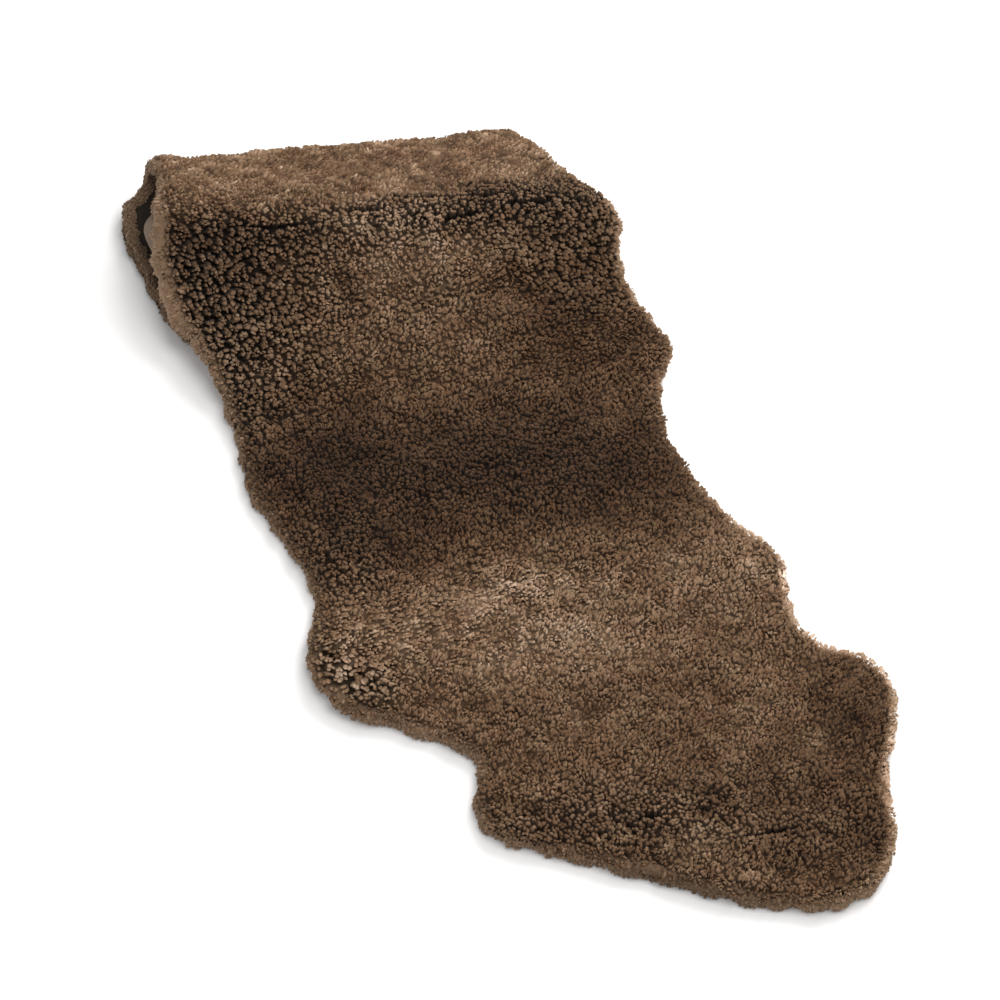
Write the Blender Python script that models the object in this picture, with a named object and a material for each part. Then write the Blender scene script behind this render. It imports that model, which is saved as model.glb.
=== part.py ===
"""A long curly sheepskin, lying flat, with its far end folded under itself.

Metres, +Z up. X runs across the skin and +Y towards the folded end. The leather lies on the
floor and the wool stands on it, except in the hidden end, where the wool lies on the floor and
the leather faces up. The skin is described flat first, by its distance across and along, and
is then laid on the line of the fold.
"""

import bpy
import bmesh
import numpy as np

WOOL = 0.028  # leather and wool together, where the skin lies open
WOOL_UNDER = 0.025  # the same, pressed by the layer above
NEAR_Y = -0.717  # the lowest point of the near end
BACK_Y = 0.692  # how far the wool of the bend reaches
RIDGE_SKEW = -0.098  # the ridge comes nearer towards the right, per metre across
RIDGE_BACK = 0.205  # the ridge's distance in front of BACK_Y
RIDGE_REACH = 0.09
BACK_SKEW = 0.04  # the bend lies a little further back towards the right, per metre across
BACK_BOW = 0.10  # and is bowed, per metre across squared
COLUMNS = 22
STEP_OPEN = 0.0160  # between rows, where the skin lies open
STEP_BEND = 0.009
STEP_UNDER = 0.022
BEND_ALONG = 1.405  # where along the skin the bend is outermost
BEND_REACH = 0.05
LOCK_PITCH = 0.046  # of the locks along the rim
LOCK_DEPTH = 0.0035
LUMP = 0.0016

# The outline, a row for each section from the near end to the hidden end.
# left, left_along, right, right_along
SECTIONS = (
    (-0.176, 0.170, 0.090, 0.028),
    (-0.192, 0.186, 0.180, 0.004),
    (-0.198, 0.207, 0.240, 0.012),
    (-0.197, 0.232, 0.283, 0.042),
    (-0.186, 0.257, 0.312, 0.085),
    (-0.174, 0.283, 0.332, 0.145),
    (-0.186, 0.310, 0.354, 0.195),
    (-0.222, 0.337, 0.386, 0.245),
    (-0.266, 0.364, 0.410, 0.300),
    (-0.312, 0.388, 0.390, 0.355),
    (-0.336, 0.436, 0.344, 0.388),
    (-0.338, 0.486, 0.320, 0.424),
    (-0.314, 0.540, 0.332, 0.475),
    (-0.300, 0.600, 0.344, 0.545),
    (-0.316, 0.680, 0.308, 0.612),
    (-0.339, 0.770, 0.281, 0.700),
    (-0.332, 0.860, 0.272, 0.790),
    (-0.337, 0.950, 0.300, 0.885),
    (-0.352, 1.015, 0.335, 0.950),
    (-0.376, 1.095, 0.305, 1.045),
    (-0.376, 1.165, 0.298, 1.135),
    (-0.353, 1.250, 0.311, 1.215),
    (-0.340, 1.325, 0.262, 1.305),
    (-0.342, 1.405, 0.240, 1.405),
    (-0.380, 1.455, 0.236, 1.455),
    (-0.394, 1.510, 0.246, 1.515),
    (-0.386, 1.600, 0.250, 1.600),
    (-0.372, 1.690, 0.236, 1.690),
    (-0.330, 1.765, 0.188, 1.765),
    (-0.250, 1.795, 0.110, 1.795),
)

# The line of the leather through the fold, from the open part round the bend and under.
# in front of BACK_Y, height
FOLD = (
    (0.600, 0.0000),
    (0.540, 0.0000),
    (0.490, 0.0045),
    (0.450, 0.0155),
    (0.415, 0.0265),
    (0.380, 0.0320),
    (0.345, 0.0380),
    (0.310, 0.0500),
    (0.270, 0.0640),
    (0.235, 0.0790),
    (0.205, 0.0850),
    (0.170, 0.0820),
    (0.120, 0.0710),
    (0.075, 0.0610),
    (0.048, 0.0565),
    (0.033, 0.0510),
    (0.0285, 0.0405),
    (0.033, 0.0300),
    (0.048, 0.0250),
    (0.080, 0.0250),
    (0.250, 0.0250),
    (0.450, 0.0250),
)

# Soft swells where the open part doesn't quite lie down.
# across, along, reach across, reach along, height
SWELLS = (
    (-0.120, 0.500, 0.170, 0.045, 0.014),
    (0.230, 0.560, 0.090, 0.060, 0.010),
    (-0.310, 0.440, 0.050, 0.050, 0.008),
    (0.020, 0.760, 0.220, 0.060, 0.009),
    (0.330, 0.300, 0.060, 0.060, 0.006),
)

# The rim's section, from the wool's top over the outermost locks to the leather's edge.
# in from the outline, share of the thickness
RIM = (
    (0.0055, 0.86),
    (0.0010, 0.62),
    (0.0010, 0.34),
    (0.0060, 0.10),
)
RIM_INSET = 0.014


def smooth_line(rows, count):
    """A smooth curve through rows of numbers, count points to each step."""
    rows = np.array(rows, float)
    ends = np.vstack([2 * rows[0] - rows[1], rows, 2 * rows[-1] - rows[-2]])
    found = []
    for i in range(1, len(ends) - 2):
        a, b, c, d = ends[i - 1 : i + 3]
        for t in np.linspace(0, 1, count, endpoint=False):
            found.append(
                b
                + 0.5 * t * (c - a)
                + t * t * (a - 2.5 * b + 2 * c - 0.5 * d)
                + t * t * t * (1.5 * (b - c) + 0.5 * (d - a))
            )
    found.append(rows[-1])
    return np.array(found)


def lengths(points):
    """The distance along a line of points, at each of them."""
    steps = np.linalg.norm(np.diff(points, axis=0), axis=1)
    return np.concatenate([[0.0], np.cumsum(steps)])


def fold_line():
    """The leather's line as (y, z) and the distance along it, and the way that the wool points."""
    bends = smooth_line([(BACK_Y - back, height) for back, height in FOLD], 20)
    line = np.vstack([[NEAR_Y - 0.05, 0.0], [NEAR_Y, 0.0], bends])
    line[:, 1] = np.maximum(line[:, 1], 0.0)
    along = lengths(line) - 0.05
    tangent = np.gradient(line, along, axis=0)
    tangent /= np.linalg.norm(tangent, axis=1)[:, None]
    out = np.stack([-tangent[:, 1], tangent[:, 0]], axis=1)
    return line, along, out


def bell(x, reach):
    return np.exp(-((x / reach) ** 2))


def eased(x, start, end):
    t = np.clip((x - start) / (end - start), 0, 1)
    return t * t * (3 - 2 * t)


def laid(across, along, above):
    """Points in space of a flat place on the skin and the height above its leather."""
    line, distance, out = FOLD_LINE
    y, z = (np.interp(along, distance, line[:, i]) for i in (0, 1))
    out_y, out_z = (np.interp(along, distance, out[:, i]) for i in (0, 1))
    back = BACK_Y - y
    on_top = 1 - eased(along, BEND_ALONG - 0.03, BEND_ALONG)
    skew = RIDGE_SKEW * bell(back - RIDGE_BACK, RIDGE_REACH) * on_top
    for x0, s0, reach_x, reach_s, height in SWELLS:
        z = z + height * bell(across - x0, reach_x) * bell(along - s0, reach_s) * on_top
    at_back = eased(along, BEND_ALONG - 0.20, BEND_ALONG)
    y = y + (skew + BACK_SKEW * at_back) * across + BACK_BOW * at_back * across**2
    y = y + above * out_y
    z = np.maximum(z + above * out_z, 0.0)
    return np.stack([across, y, z], axis=-1)


def thickness(across, along):
    """Leather and wool together, with lumps where the wool is free."""
    under = eased(along, BEND_ALONG - 0.02, BEND_ALONG + 0.06)
    free = 1 - eased(along, BEND_ALONG, BEND_ALONG + 0.02)
    lumps = (
        np.sin(across * 43 + along * 17 + 0.4)
        + np.sin(across * 25 - along * 48 + 1.9)
        + np.sin(across * 38 + along * 44 + 3.1)
        + np.sin(across * 12 - along * 61 + 5.0)
    )
    return WOOL * (1 - under) + WOOL_UNDER * under + LUMP * lumps * free


def sections():
    """The outline's left and right points, a pair for each row of the mesh."""
    rows = smooth_line(SECTIONS, 16)
    mean = lengths(0.5 * (rows[:, :2] + rows[:, 2:]))
    middle = 0.5 * (rows[:, 1] + rows[:, 3])
    step = STEP_OPEN + (STEP_UNDER - STEP_OPEN) * eased(middle, BEND_ALONG, BEND_ALONG + 0.12)
    step = step + (STEP_BEND - step) * bell(middle - BEND_ALONG, BEND_REACH)
    density = np.concatenate([[0.0], np.cumsum(np.diff(mean) / step[1:])])
    count = int(round(density[-1]))
    at = np.linspace(0, density[-1], count + 1)
    return np.stack([np.interp(at, density, rows[:, i]) for i in range(4)], axis=1)


def outline(rows):
    """The rim's flat points, counter-clockwise from the near end's left corner."""
    share = np.linspace(0, 1, COLUMNS + 1)[:, None]
    near = rows[0, :2] + (rows[0, 2:] - rows[0, :2]) * share
    far = rows[-1, 2:] + (rows[-1, :2] - rows[-1, 2:]) * share
    return np.vstack([near, rows[1:-1, 2:], far, rows[-2:0:-1, :2]])


def inward(loop):
    """The flat direction into the skin at each point of the rim."""
    ahead, behind = np.roll(loop, -3, axis=0), np.roll(loop, 3, axis=0)
    run = ahead - behind
    run /= np.linalg.norm(run, axis=1)[:, None]
    return np.stack([-run[:, 1], run[:, 0]], axis=1)


def locks(loop):
    """How far the locks stand out along the rim, uneven but the same every time."""
    s = lengths(loop) * 2 * np.pi / LOCK_PITCH
    wave = 0.6 * np.sin(s + 1.3 * np.sin(s * 0.13)) + 0.4 * np.sin(s * 0.57 + 2.0)
    return LOCK_DEPTH * wave


def build():
    rows = sections()
    loop = outline(rows)
    into = inward(loop)
    wave = locks(loop)
    count_rows, count = len(rows), len(loop)

    inner = loop + RIM_INSET * into
    right = inner[COLUMNS : COLUMNS + count_rows]
    left = np.vstack([inner[:1], inner[:-count_rows:-1]])
    share = np.linspace(0, 1, COLUMNS + 1)
    flat = left[:, None] + (right - left)[:, None] * share[None, :, None]
    flat[0] = inner[: COLUMNS + 1]

    mesh = bmesh.new()
    top_height = thickness(flat[..., 0], flat[..., 1])
    top = laid(flat[..., 0], flat[..., 1], top_height)
    base = laid(flat[..., 0], flat[..., 1], np.zeros(flat.shape[:2]))
    grids = []
    for points in (top, base):
        grids.append([[mesh.verts.new(p) for p in row] for row in points])

    def round_grid(grid):
        ring = list(grid[0])
        ring += [grid[i][-1] for i in range(1, count_rows - 1)]
        ring += list(reversed(grid[-1]))
        ring += [grid[i][0] for i in range(count_rows - 2, 0, -1)]
        return ring

    rings = [round_grid(grids[0])]
    for inset, part in RIM:
        edge = loop + (inset - wave)[:, None] * into
        points = laid(edge[:, 0], edge[:, 1], part * thickness(edge[:, 0], edge[:, 1]))
        rings.append([mesh.verts.new(p) for p in points])
    rings.append(round_grid(grids[1]))

    for i in range(count_rows - 1):
        for j in range(COLUMNS):
            a, b = grids[0][i][j : j + 2]
            d, c = grids[0][i + 1][j : j + 2]
            mesh.faces.new((a, b, c, d))
            a, b = grids[1][i][j : j + 2]
            d, c = grids[1][i + 1][j : j + 2]
            mesh.faces.new((d, c, b, a))
    for upper, lower in zip(rings, rings[1:]):
        for i in range(count):
            k = (i + 1) % count
            mesh.faces.new((upper[k], upper[i], lower[i], lower[k]))
    bmesh.ops.triangulate(mesh, faces=mesh.faces)
    bmesh.ops.recalc_face_normals(mesh, faces=mesh.faces)

    points = np.array([v.co for v in mesh.verts])
    middle = 0.5 * (points.min(axis=0) + points.max(axis=0))
    for v in mesh.verts:
        v.co.x -= middle[0]
        v.co.y -= middle[1]
    data = bpy.data.meshes.new("sheepskin")
    mesh.to_mesh(data)
    mesh.free()
    data.shade_smooth()
    skin = bpy.data.objects.new("sheepskin", data)
    bpy.context.collection.objects.link(skin)
    return skin


def wool_material():
    material = bpy.data.materials.new("taupe wool")
    material.use_nodes = True
    shader = material.node_tree.nodes["Principled BSDF"]
    shader.inputs["Base Color"].default_value = (0.135, 0.088, 0.056, 1.0)
    shader.inputs["Roughness"].default_value = 0.95
    shader.inputs["Metallic"].default_value = 0.0
    return material


for old in list(bpy.data.objects):
    bpy.data.objects.remove(old, do_unlink=True)
FOLD_LINE = fold_line()
sheepskin = build()
sheepskin.data.materials.append(wool_material())
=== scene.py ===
import math

import bpy
import numpy as np
from mathutils import Matrix, Vector, kdtree


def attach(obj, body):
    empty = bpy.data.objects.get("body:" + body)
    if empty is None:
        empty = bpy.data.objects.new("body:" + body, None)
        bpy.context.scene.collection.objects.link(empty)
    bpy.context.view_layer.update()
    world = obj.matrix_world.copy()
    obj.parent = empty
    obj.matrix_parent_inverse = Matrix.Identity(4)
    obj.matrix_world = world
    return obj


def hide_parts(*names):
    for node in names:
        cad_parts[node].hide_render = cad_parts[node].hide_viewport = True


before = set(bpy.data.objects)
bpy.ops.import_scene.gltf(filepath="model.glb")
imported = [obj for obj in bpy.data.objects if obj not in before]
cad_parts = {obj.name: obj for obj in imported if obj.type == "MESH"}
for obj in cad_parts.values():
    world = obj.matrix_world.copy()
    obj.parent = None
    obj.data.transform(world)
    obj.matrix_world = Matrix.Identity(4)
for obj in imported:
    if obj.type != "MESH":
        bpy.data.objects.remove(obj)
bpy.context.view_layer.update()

scene = bpy.context.scene

# how the skin lies, in metres: open and flat, over a ridge, round the bend and back under itself
lie = {
    "wool": 0.028,  # thickness of skin and wool, on top and then under the fold
    "woolUnder": 0.025,
    "nearY": -0.717,
    "backY": 0.692,
    "ridgeSkew": -0.098,  # slant of the ridge, how far it is from the back, and its reach
    "ridgeBack": 0.205,
    "ridgeReach": 0.09,
    "backSkew": 0.04,
    "backBow": 0.1,
    "bendAlong": 1.405,  # how far along the skin it turns under
    "lump": 0.0016,
    "lumps": ((43, 17, 0.4), (25, -48, 1.9), (38, 44, 3.1), (12, -61, 5.0)),  # waves in the wool's top
    "middle": (0.0075, -0.00545),  # moved by this to lie over the frame's origin
    # in front of backY, height of the leather
    "fold": (
        (0.6, 0.0), (0.54, 0.0), (0.49, 0.0045), (0.45, 0.0155),
        (0.415, 0.0265), (0.38, 0.032), (0.345, 0.038), (0.31, 0.05),
        (0.27, 0.064), (0.235, 0.079), (0.205, 0.085), (0.17, 0.082),
        (0.12, 0.071), (0.075, 0.061), (0.048, 0.0565), (0.033, 0.051),
        (0.0285, 0.0405), (0.033, 0.03), (0.048, 0.025), (0.08, 0.025),
        (0.25, 0.025), (0.45, 0.025),
    ),
    # across, along, reach across, reach along, height
    "swells": (
        (-0.12, 0.5, 0.17, 0.045, 0.014),
        (0.23, 0.56, 0.09, 0.06, 0.01),
        (-0.31, 0.44, 0.05, 0.05, 0.008),
        (0.02, 0.76, 0.22, 0.06, 0.009),
        (0.33, 0.3, 0.06, 0.06, 0.006),
    ),
}

# the skin's outline, and how the locks and curls make it wavy
cut = {
    "lockPitch": 0.046,
    "lockDepth": 0.0035,
    "curlPitch": 0.0135,
    "curlDepth": 0.0011,
    "step": 0.0028,  # between the outline's points
    "turnReach": 0.03,  # the outline's direction is taken over this much on both sides
    # left, left along, right, right along, from the near end to the hidden one
    "sections": (
        (-0.176, 0.17, 0.09, 0.028), (-0.192, 0.186, 0.18, 0.004),
        (-0.198, 0.207, 0.24, 0.012), (-0.197, 0.232, 0.283, 0.042),
        (-0.186, 0.257, 0.312, 0.085), (-0.174, 0.283, 0.332, 0.145),
        (-0.186, 0.31, 0.354, 0.195), (-0.222, 0.337, 0.386, 0.245),
        (-0.266, 0.364, 0.41, 0.3), (-0.312, 0.388, 0.39, 0.355),
        (-0.336, 0.436, 0.344, 0.388), (-0.338, 0.486, 0.32, 0.424),
        (-0.314, 0.54, 0.332, 0.475), (-0.3, 0.6, 0.344, 0.545),
        (-0.316, 0.68, 0.308, 0.612), (-0.339, 0.77, 0.281, 0.7),
        (-0.332, 0.86, 0.272, 0.79), (-0.337, 0.95, 0.3, 0.885),
        (-0.352, 1.015, 0.335, 0.95), (-0.376, 1.095, 0.305, 1.045),
        (-0.376, 1.165, 0.298, 1.135), (-0.353, 1.25, 0.311, 1.215),
        (-0.34, 1.325, 0.262, 1.305), (-0.342, 1.405, 0.24, 1.405),
        (-0.38, 1.455, 0.236, 1.455), (-0.394, 1.51, 0.246, 1.515),
        (-0.386, 1.6, 0.25, 1.6), (-0.372, 1.69, 0.236, 1.69),
        (-0.33, 1.765, 0.188, 1.765), (-0.25, 1.795, 0.11, 1.795),
    ),
}


def bell(x, reach):
    return np.exp(-((x / reach) ** 2))


def eased(x, start, end):
    t = np.clip((x - start) / (end - start), 0, 1)
    return t * t * (3 - 2 * t)


def unit(v):
    return v / np.maximum(np.linalg.norm(v, axis=-1, keepdims=True), 1e-12)


def smoothLine(rows, count):
    rows = np.array(rows, float)
    ends = np.vstack([2 * rows[0] - rows[1], rows, 2 * rows[-1] - rows[-2]])
    found = []
    for i in range(1, len(ends) - 2):
        a, b, c, d = ends[i - 1:i + 3]
        for t in np.linspace(0, 1, count, endpoint=False):
            found.append(b + 0.5 * t * (c - a) + t * t * (a - 2.5 * b + 2 * c - 0.5 * d)
                         + t ** 3 * (1.5 * (b - c) + 0.5 * (d - a)))
    found.append(rows[-1])
    return np.array(found)


def lengths(points):
    steps = np.linalg.norm(np.diff(points, axis=0), axis=1)
    return np.concatenate([[0.0], np.cumsum(steps)])


def foldLine():
    # the leather's line seen from the side, how far along each point is, and its way ahead
    bends = smoothLine([(lie["backY"] - back, height) for back, height in lie["fold"]], 20)
    line = np.vstack([[lie["nearY"] - 0.05, 0.0], [lie["nearY"], 0.0], bends])
    line[:, 1] = np.maximum(line[:, 1], 0.0)
    along = lengths(line) - 0.05
    return line, along, unit(np.gradient(line, along, axis=0))


line, lineAlong, lineAhead = foldLine()


def base(across, along):
    # where the leather is, the way ahead on it and the way that the wool points
    y, z, ty, tz = (np.interp(along, lineAlong, v) for v in (*line.T, *lineAhead.T))
    onTop = 1 - eased(along, lie["bendAlong"] - 0.03, lie["bendAlong"])
    skew = lie["ridgeSkew"] * bell(lie["backY"] - y - lie["ridgeBack"], lie["ridgeReach"]) * onTop
    for x0, s0, reachX, reachS, height in lie["swells"]:
        z = z + height * bell(across - x0, reachX) * bell(along - s0, reachS) * onTop
    atBack = eased(along, lie["bendAlong"] - 0.2, lie["bendAlong"])
    y = y + (skew + lie["backSkew"] * atBack) * across + lie["backBow"] * atBack * across ** 2
    zero = np.zeros_like(y)
    here = np.stack([across - lie["middle"][0], y - lie["middle"][1], z], -1)
    ahead = unit(np.stack([zero, ty, tz], -1))
    up = unit(np.stack([zero, -tz, ty], -1))
    return here, ahead, up


def laid(across, along, above):
    here, _, up = base(across, along)
    point = here + above[..., None] * up
    point[..., 2] = np.maximum(point[..., 2], 0.0)
    return point


def waves(across, along, rows):
    return sum(np.sin(across * a + along * b + start) for a, b, start in rows)


def thickness(across, along):
    under = eased(along, lie["bendAlong"] - 0.02, lie["bendAlong"] + 0.06)
    free = 1 - eased(along, lie["bendAlong"], lie["bendAlong"] + 0.02)
    lumps = lie["lump"] * waves(across, along, lie["lumps"]) * free
    return lie["wool"] * (1 - under) + lie["woolUnder"] * under + lumps


def cutLines():
    # the left and the right edge in fine steps
    return smoothLine(cut["sections"], 16)


def skinGrid(count, columns):
    # flat places in rows across the whole skin, from the near end to the hidden one
    rows = cutLines()
    s = lengths(0.5 * (rows[:, :2] + rows[:, 2:]))
    at = np.linspace(0, s[-1], count)
    rows = np.stack([np.interp(at, s, rows[:, i]) for i in range(4)], 1)
    share = np.linspace(0, 1, columns)[None, :, None]
    return (rows[:, None, :2] + (rows[:, None, 2:] - rows[:, None, :2]) * share).reshape(-1, 2)


def rimLoop():
    # the outline, evenly stepped, with the way into the skin and the locks' swing
    rows = cutLines()
    share = np.linspace(0, 1, 40)[:, None]
    near = rows[0, :2] + (rows[0, 2:] - rows[0, :2]) * share
    far = rows[-1, 2:] + (rows[-1, :2] - rows[-1, 2:]) * share
    loop = np.vstack([near, rows[1:-1, 2:], far, rows[-2:0:-1, :2], near[:1]])
    s = lengths(loop)
    at = np.linspace(0, s[-1], int(s[-1] / cut["step"]), endpoint=False)
    loop = np.stack([np.interp(at, s, loop[:, i]) for i in (0, 1)], 1)
    k = max(2, int(cut["turnReach"] / cut["step"]))
    run = unit(np.roll(loop, -k, 0) - np.roll(loop, k, 0))
    into = np.stack([-run[:, 1], run[:, 0]], 1)
    big = at * 2 * math.pi / cut["lockPitch"]
    wave = 0.6 * np.sin(big + 1.3 * np.sin(big * 0.13)) + 0.4 * np.sin(big * 0.57 + 2.0)
    fine = at * 2 * math.pi / cut["curlPitch"]
    curls = 1 - np.abs(np.sin(0.5 * fine + 1.7 * np.sin(fine * 0.071))) ** 0.7 * 2
    return loop, into, cut["lockDepth"] * wave - cut["curlDepth"] * curls, at


def meshFrom(name, points, faces, material):
    # one smooth mesh; faces are arrays of quads or triangles, by the numbers of their points
    data = bpy.data.meshes.new(name)
    corners = np.concatenate([part.ravel() for part in faces]).astype(np.int32)
    sizes = np.concatenate([np.full(len(part), part.shape[1], np.int32) for part in faces])
    data.vertices.add(len(points))
    data.vertices.foreach_set("co", np.asarray(points, np.float32).ravel())
    data.loops.add(len(corners))
    data.loops.foreach_set("vertex_index", corners)
    data.polygons.add(len(sizes))
    data.polygons.foreach_set("loop_start", np.concatenate([[0], np.cumsum(sizes)[:-1]]).astype(np.int32))
    data.update(calc_edges=True)
    data.validate()
    data.shade_smooth()
    data.materials.append(material)
    piece = bpy.data.objects.new(name, data)
    scene.collection.objects.link(piece)
    return piece


def mark(piece, name, values):
    # a value at each point, which the material reads
    piece.data.attributes.new(name, "FLOAT", "POINT").data.foreach_set(
        "value", np.asarray(values, np.float32).ravel())


def comb(piece, uvOf):
    # flat places that the fibres run along, from the number of each corner's point
    corner = np.empty(len(piece.data.loops), np.int32)
    piece.data.loops.foreach_get("vertex_index", corner)
    uvs = piece.data.uv_layers.new(name="combed")
    uvs.data.foreach_set("uv", np.stack(uvOf(corner), 1).astype(np.float32).ravel())


def gridQuads(rows, columns, wrap=False):
    i, j = np.meshgrid(np.arange(rows - (not wrap)), np.arange(columns - 1), indexing="ij")
    k = (i + 1) % rows
    here, ahead = i * columns + j, k * columns + j
    return np.stack([here, ahead, ahead + 1, here + 1], -1).reshape(-1, 4)


# mostly painted light and shade: where the wool is painted lighter on slopes that would catch the light and
# darker in the crease and hollows that would lie in shade: across, along, reach across, reach along, strength
paintedLightAndShade = {
    "everywhere": -0.28,
    "strip": (-0.05, 1.34, 0.4, 0.06, -0.12),
    "stripRight": (0.22, 1.33, 0.09, 0.07, 0.18),
    "stripLeft": (-0.3, 1.33, 0.1, 0.07, 0.1),
    "ridgeMiddle": (0.0, 1.18, 0.14, 0.05, 0.59),
    "leftOfRidge": (-0.32, 1.12, 0.09, 0.12, -0.07),
    "leftBelow": (-0.31, 0.96, 0.09, 0.1, 0.56),
    "slope": (-0.02, 1.03, 0.13, 0.11, 0.29),
    "rightOfRidge": (0.22, 1.16, 0.11, 0.06, -0.05),
    "slopeRight": (0.19, 0.99, 0.11, 0.11, -0.61),
    "middleLeft": (-0.23, 0.79, 0.13, 0.13, -1.04),
    "middle": (0.03, 0.76, 0.16, 0.12, -1.06),
    "middleRight": (0.22, 0.73, 0.1, 0.12, -0.66),
    "aboveCrease": (-0.15, 0.64, 0.13, 0.045, -0.37),
    "crease": (-0.2, 0.47, 0.13, 0.08, 0.21),
    "creaseMiddle": (-0.02, 0.54, 0.12, 0.05, 0.64),
    "creaseNear": (0.0, 0.44, 0.11, 0.05, 0.58),
    "creaseSpot": (-0.048, 0.504, 0.035, 0.016, -0.4),
    "seatRight": (0.19, 0.52, 0.1, 0.07, 0.24),
    "rightEdge": (0.29, 0.53, 0.05, 0.06, 0.29),
    "lobe": (-0.31, 0.44, 0.06, 0.06, 0.28),
    "near": (0.06, 0.3, 0.12, 0.09, -0.05),
    "nearLeft": (-0.11, 0.21, 0.07, 0.06, -0.05),
    "nearRight": (0.33, 0.25, 0.08, 0.11, -0.55),
    "nearCorner": (0.25, 0.1, 0.09, 0.06, -0.53),
    "nearEnd": (0.0, 0.125, 0.12, 0.022, 0.22),
}

# how far apart the locks' clumps are: across, along, reach across, reach along, change
grain = {
    "locks": 0.0031,
    "openLocks": 0.0042,
    "clumps": 0.0066,
    "leftOfRidge": (-0.3, 1.1, 0.12, 0.17, 0.0028),
    "ridge": (-0.02, 1.19, 0.22, 0.045, 0.0028),
    "ridgeRight": (0.2, 1.236, 0.12, 0.042, 0.0024),
    "rightOfRidge": (0.24, 1.13, 0.11, 0.12, 0.0024),
    "slope": (0.0, 1.01, 0.25, 0.12, 0.001),
    "crease": (-0.18, 0.48, 0.16, 0.07, 0.0036),
    "near": (0.14, 0.29, 0.25, 0.17, -0.0008),
    "lobe": (-0.31, 0.43, 0.06, 0.05, 0.0036),
}

# where the locks stand apart with dark gaps between them, 0 closed to 1 open
openness = {
    "everywhere": 0.16,
    "leftOfRidge": (-0.31, 1.09, 0.12, 0.125, 0.74),
    "leftBelow": (-0.32, 0.93, 0.08, 0.1, 0.4),
    "ridgeLeft": (-0.24, 1.17, 0.15, 0.034, 0.3),
    "ridge": (0.02, 1.205, 0.13, 0.034, 0.5),
    "ridgeRight": (0.19, 1.236, 0.11, 0.042, 0.6),
    "rightOfRidge": (0.245, 1.13, 0.1, 0.11, 0.4),
    "slope": (-0.04, 1.06, 0.18, 0.09, 0.08),
    "lobe": (-0.3, 0.43, 0.05, 0.045, 0.44),
    "leftEdge": (-0.25, 0.62, 0.06, 0.08, 0.3),
    "crease": (-0.18, 0.48, 0.16, 0.07, -0.1),
    "nearLeft": (-0.04, 0.175, 0.17, 0.045, 0.36),
    "nearEnd": (0.2, 0.11, 0.16, 0.05, 0.16),
    "middle": (0.0, 0.77, 0.33, 0.13, 0.22),
    "strip": (-0.05, 1.34, 0.4, 0.075, -0.1),
}

# how strongly the tips of neighbouring locks draw together, 0 not at all to 1 fully
gathering = {
    "everywhere": 0.62,
    "leftOfRidge": (-0.31, 1.09, 0.12, 0.15, 0.14),
    "leftBelow": (-0.32, 0.93, 0.08, 0.1, 0.14),
    "ridge": (0.0, 1.205, 0.33, 0.045, 0.1),
    "rightOfRidge": (0.245, 1.13, 0.1, 0.11, 0.12),
    "slope": (-0.04, 1.06, 0.18, 0.09, 0.1),
    "lobe": (-0.3, 0.43, 0.06, 0.055, 0.22),
    "crease": (-0.18, 0.48, 0.19, 0.08, -0.06),
    "near": (0.1, 0.26, 0.2, 0.12, -0.12),
    "strip": (-0.05, 1.34, 0.4, 0.075, -0.42),
}

# how the locks lean, in metres at their tips: across, along, reaches, then the lean
combing = {
    "leftOfRidge": (-0.3, 1.1, 0.14, 0.14, 0.0008, -0.0086),
    "rightOfRidge": (0.24, 1.12, 0.14, 0.14, 0.0012, -0.0064),
    "lobe": (-0.3, 0.43, 0.06, 0.05, -0.0046, -0.006),
    "strip": (-0.05, 1.34, 0.4, 0.08, 0.009, 0.004),
    "corner": (-0.34, 1.4, 0.06, 0.05, 0.002, 0.006),
    "crease": (-0.24, 0.5, 0.12, 0.06, 0.004, -0.005),
    "creaseRight": (-0.02, 0.54, 0.12, 0.05, 0.0015, -0.004),
}

# dark partings, each from one place to another: across, along, across, along
partings = (
    (0.052, 1.262, 0.213, 1.264),
    (0.04, 1.231, 0.161, 1.241),
    (0.039, 1.195, 0.118, 1.21),
    (0.14, 1.218, 0.232, 1.231),
    (0.206, 1.248, 0.287, 1.213),
    (-0.25, 1.186, -0.13, 1.194),
    (-0.12, 1.212, -0.03, 1.211),
    (-0.02, 1.236, 0.05, 1.23),
    (-0.23, 1.176, -0.19, 1.192),
    (0.12, 0.114, 0.19, 0.118),
    (-0.005, 0.172, 0.024, 0.164),
    (-0.322, 0.474, -0.3, 0.462),
    (-0.28, 0.436, -0.262, 0.412),
)


def field(table, across, along, which=4):
    # a table's rows added up at each place, every row fading with the distance from its own
    total = np.zeros_like(across) + table.get("everywhere", 0.0)
    for row in table.values():
        if isinstance(row, tuple):
            total = total + row[which] * bell(across - row[0], row[2]) * bell(along - row[1], row[3])
    return total


def stripAt(across, along):
    # the brushed strip behind the ridge, which starts a little later on the right
    aslant = along - 0.12 * across
    return eased(aslant, 1.222, 1.268) * (1 - eased(along, 1.42, 1.46))


def opennessAt(across, along):
    return np.clip(field(openness, across, along) * (1 - 0.85 * stripAt(across, along)), 0, 1)


# where the wool at the rim is short and smooth like velvet, 0 to 1
velvet = {
    "everywhere": 0.22,
    "leftOfRidge": (-0.37, 1.13, 0.07, 0.13, 0.8),
    "corner": (-0.35, 1.4, 0.06, 0.07, 0.6),
    "leftBelow": (-0.34, 0.9, 0.06, 0.1, 0.2),
    "lobe": (-0.32, 0.38, 0.1, 0.06, 0.45),
    "nearLeft": (-0.21, 0.29, 0.06, 0.06, 0.35),
    "nearEnd": (0.06, 0.1, 0.22, 0.06, 0.25),
    "right": (0.36, 0.4, 0.08, 0.3, -0.2),
}

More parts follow.
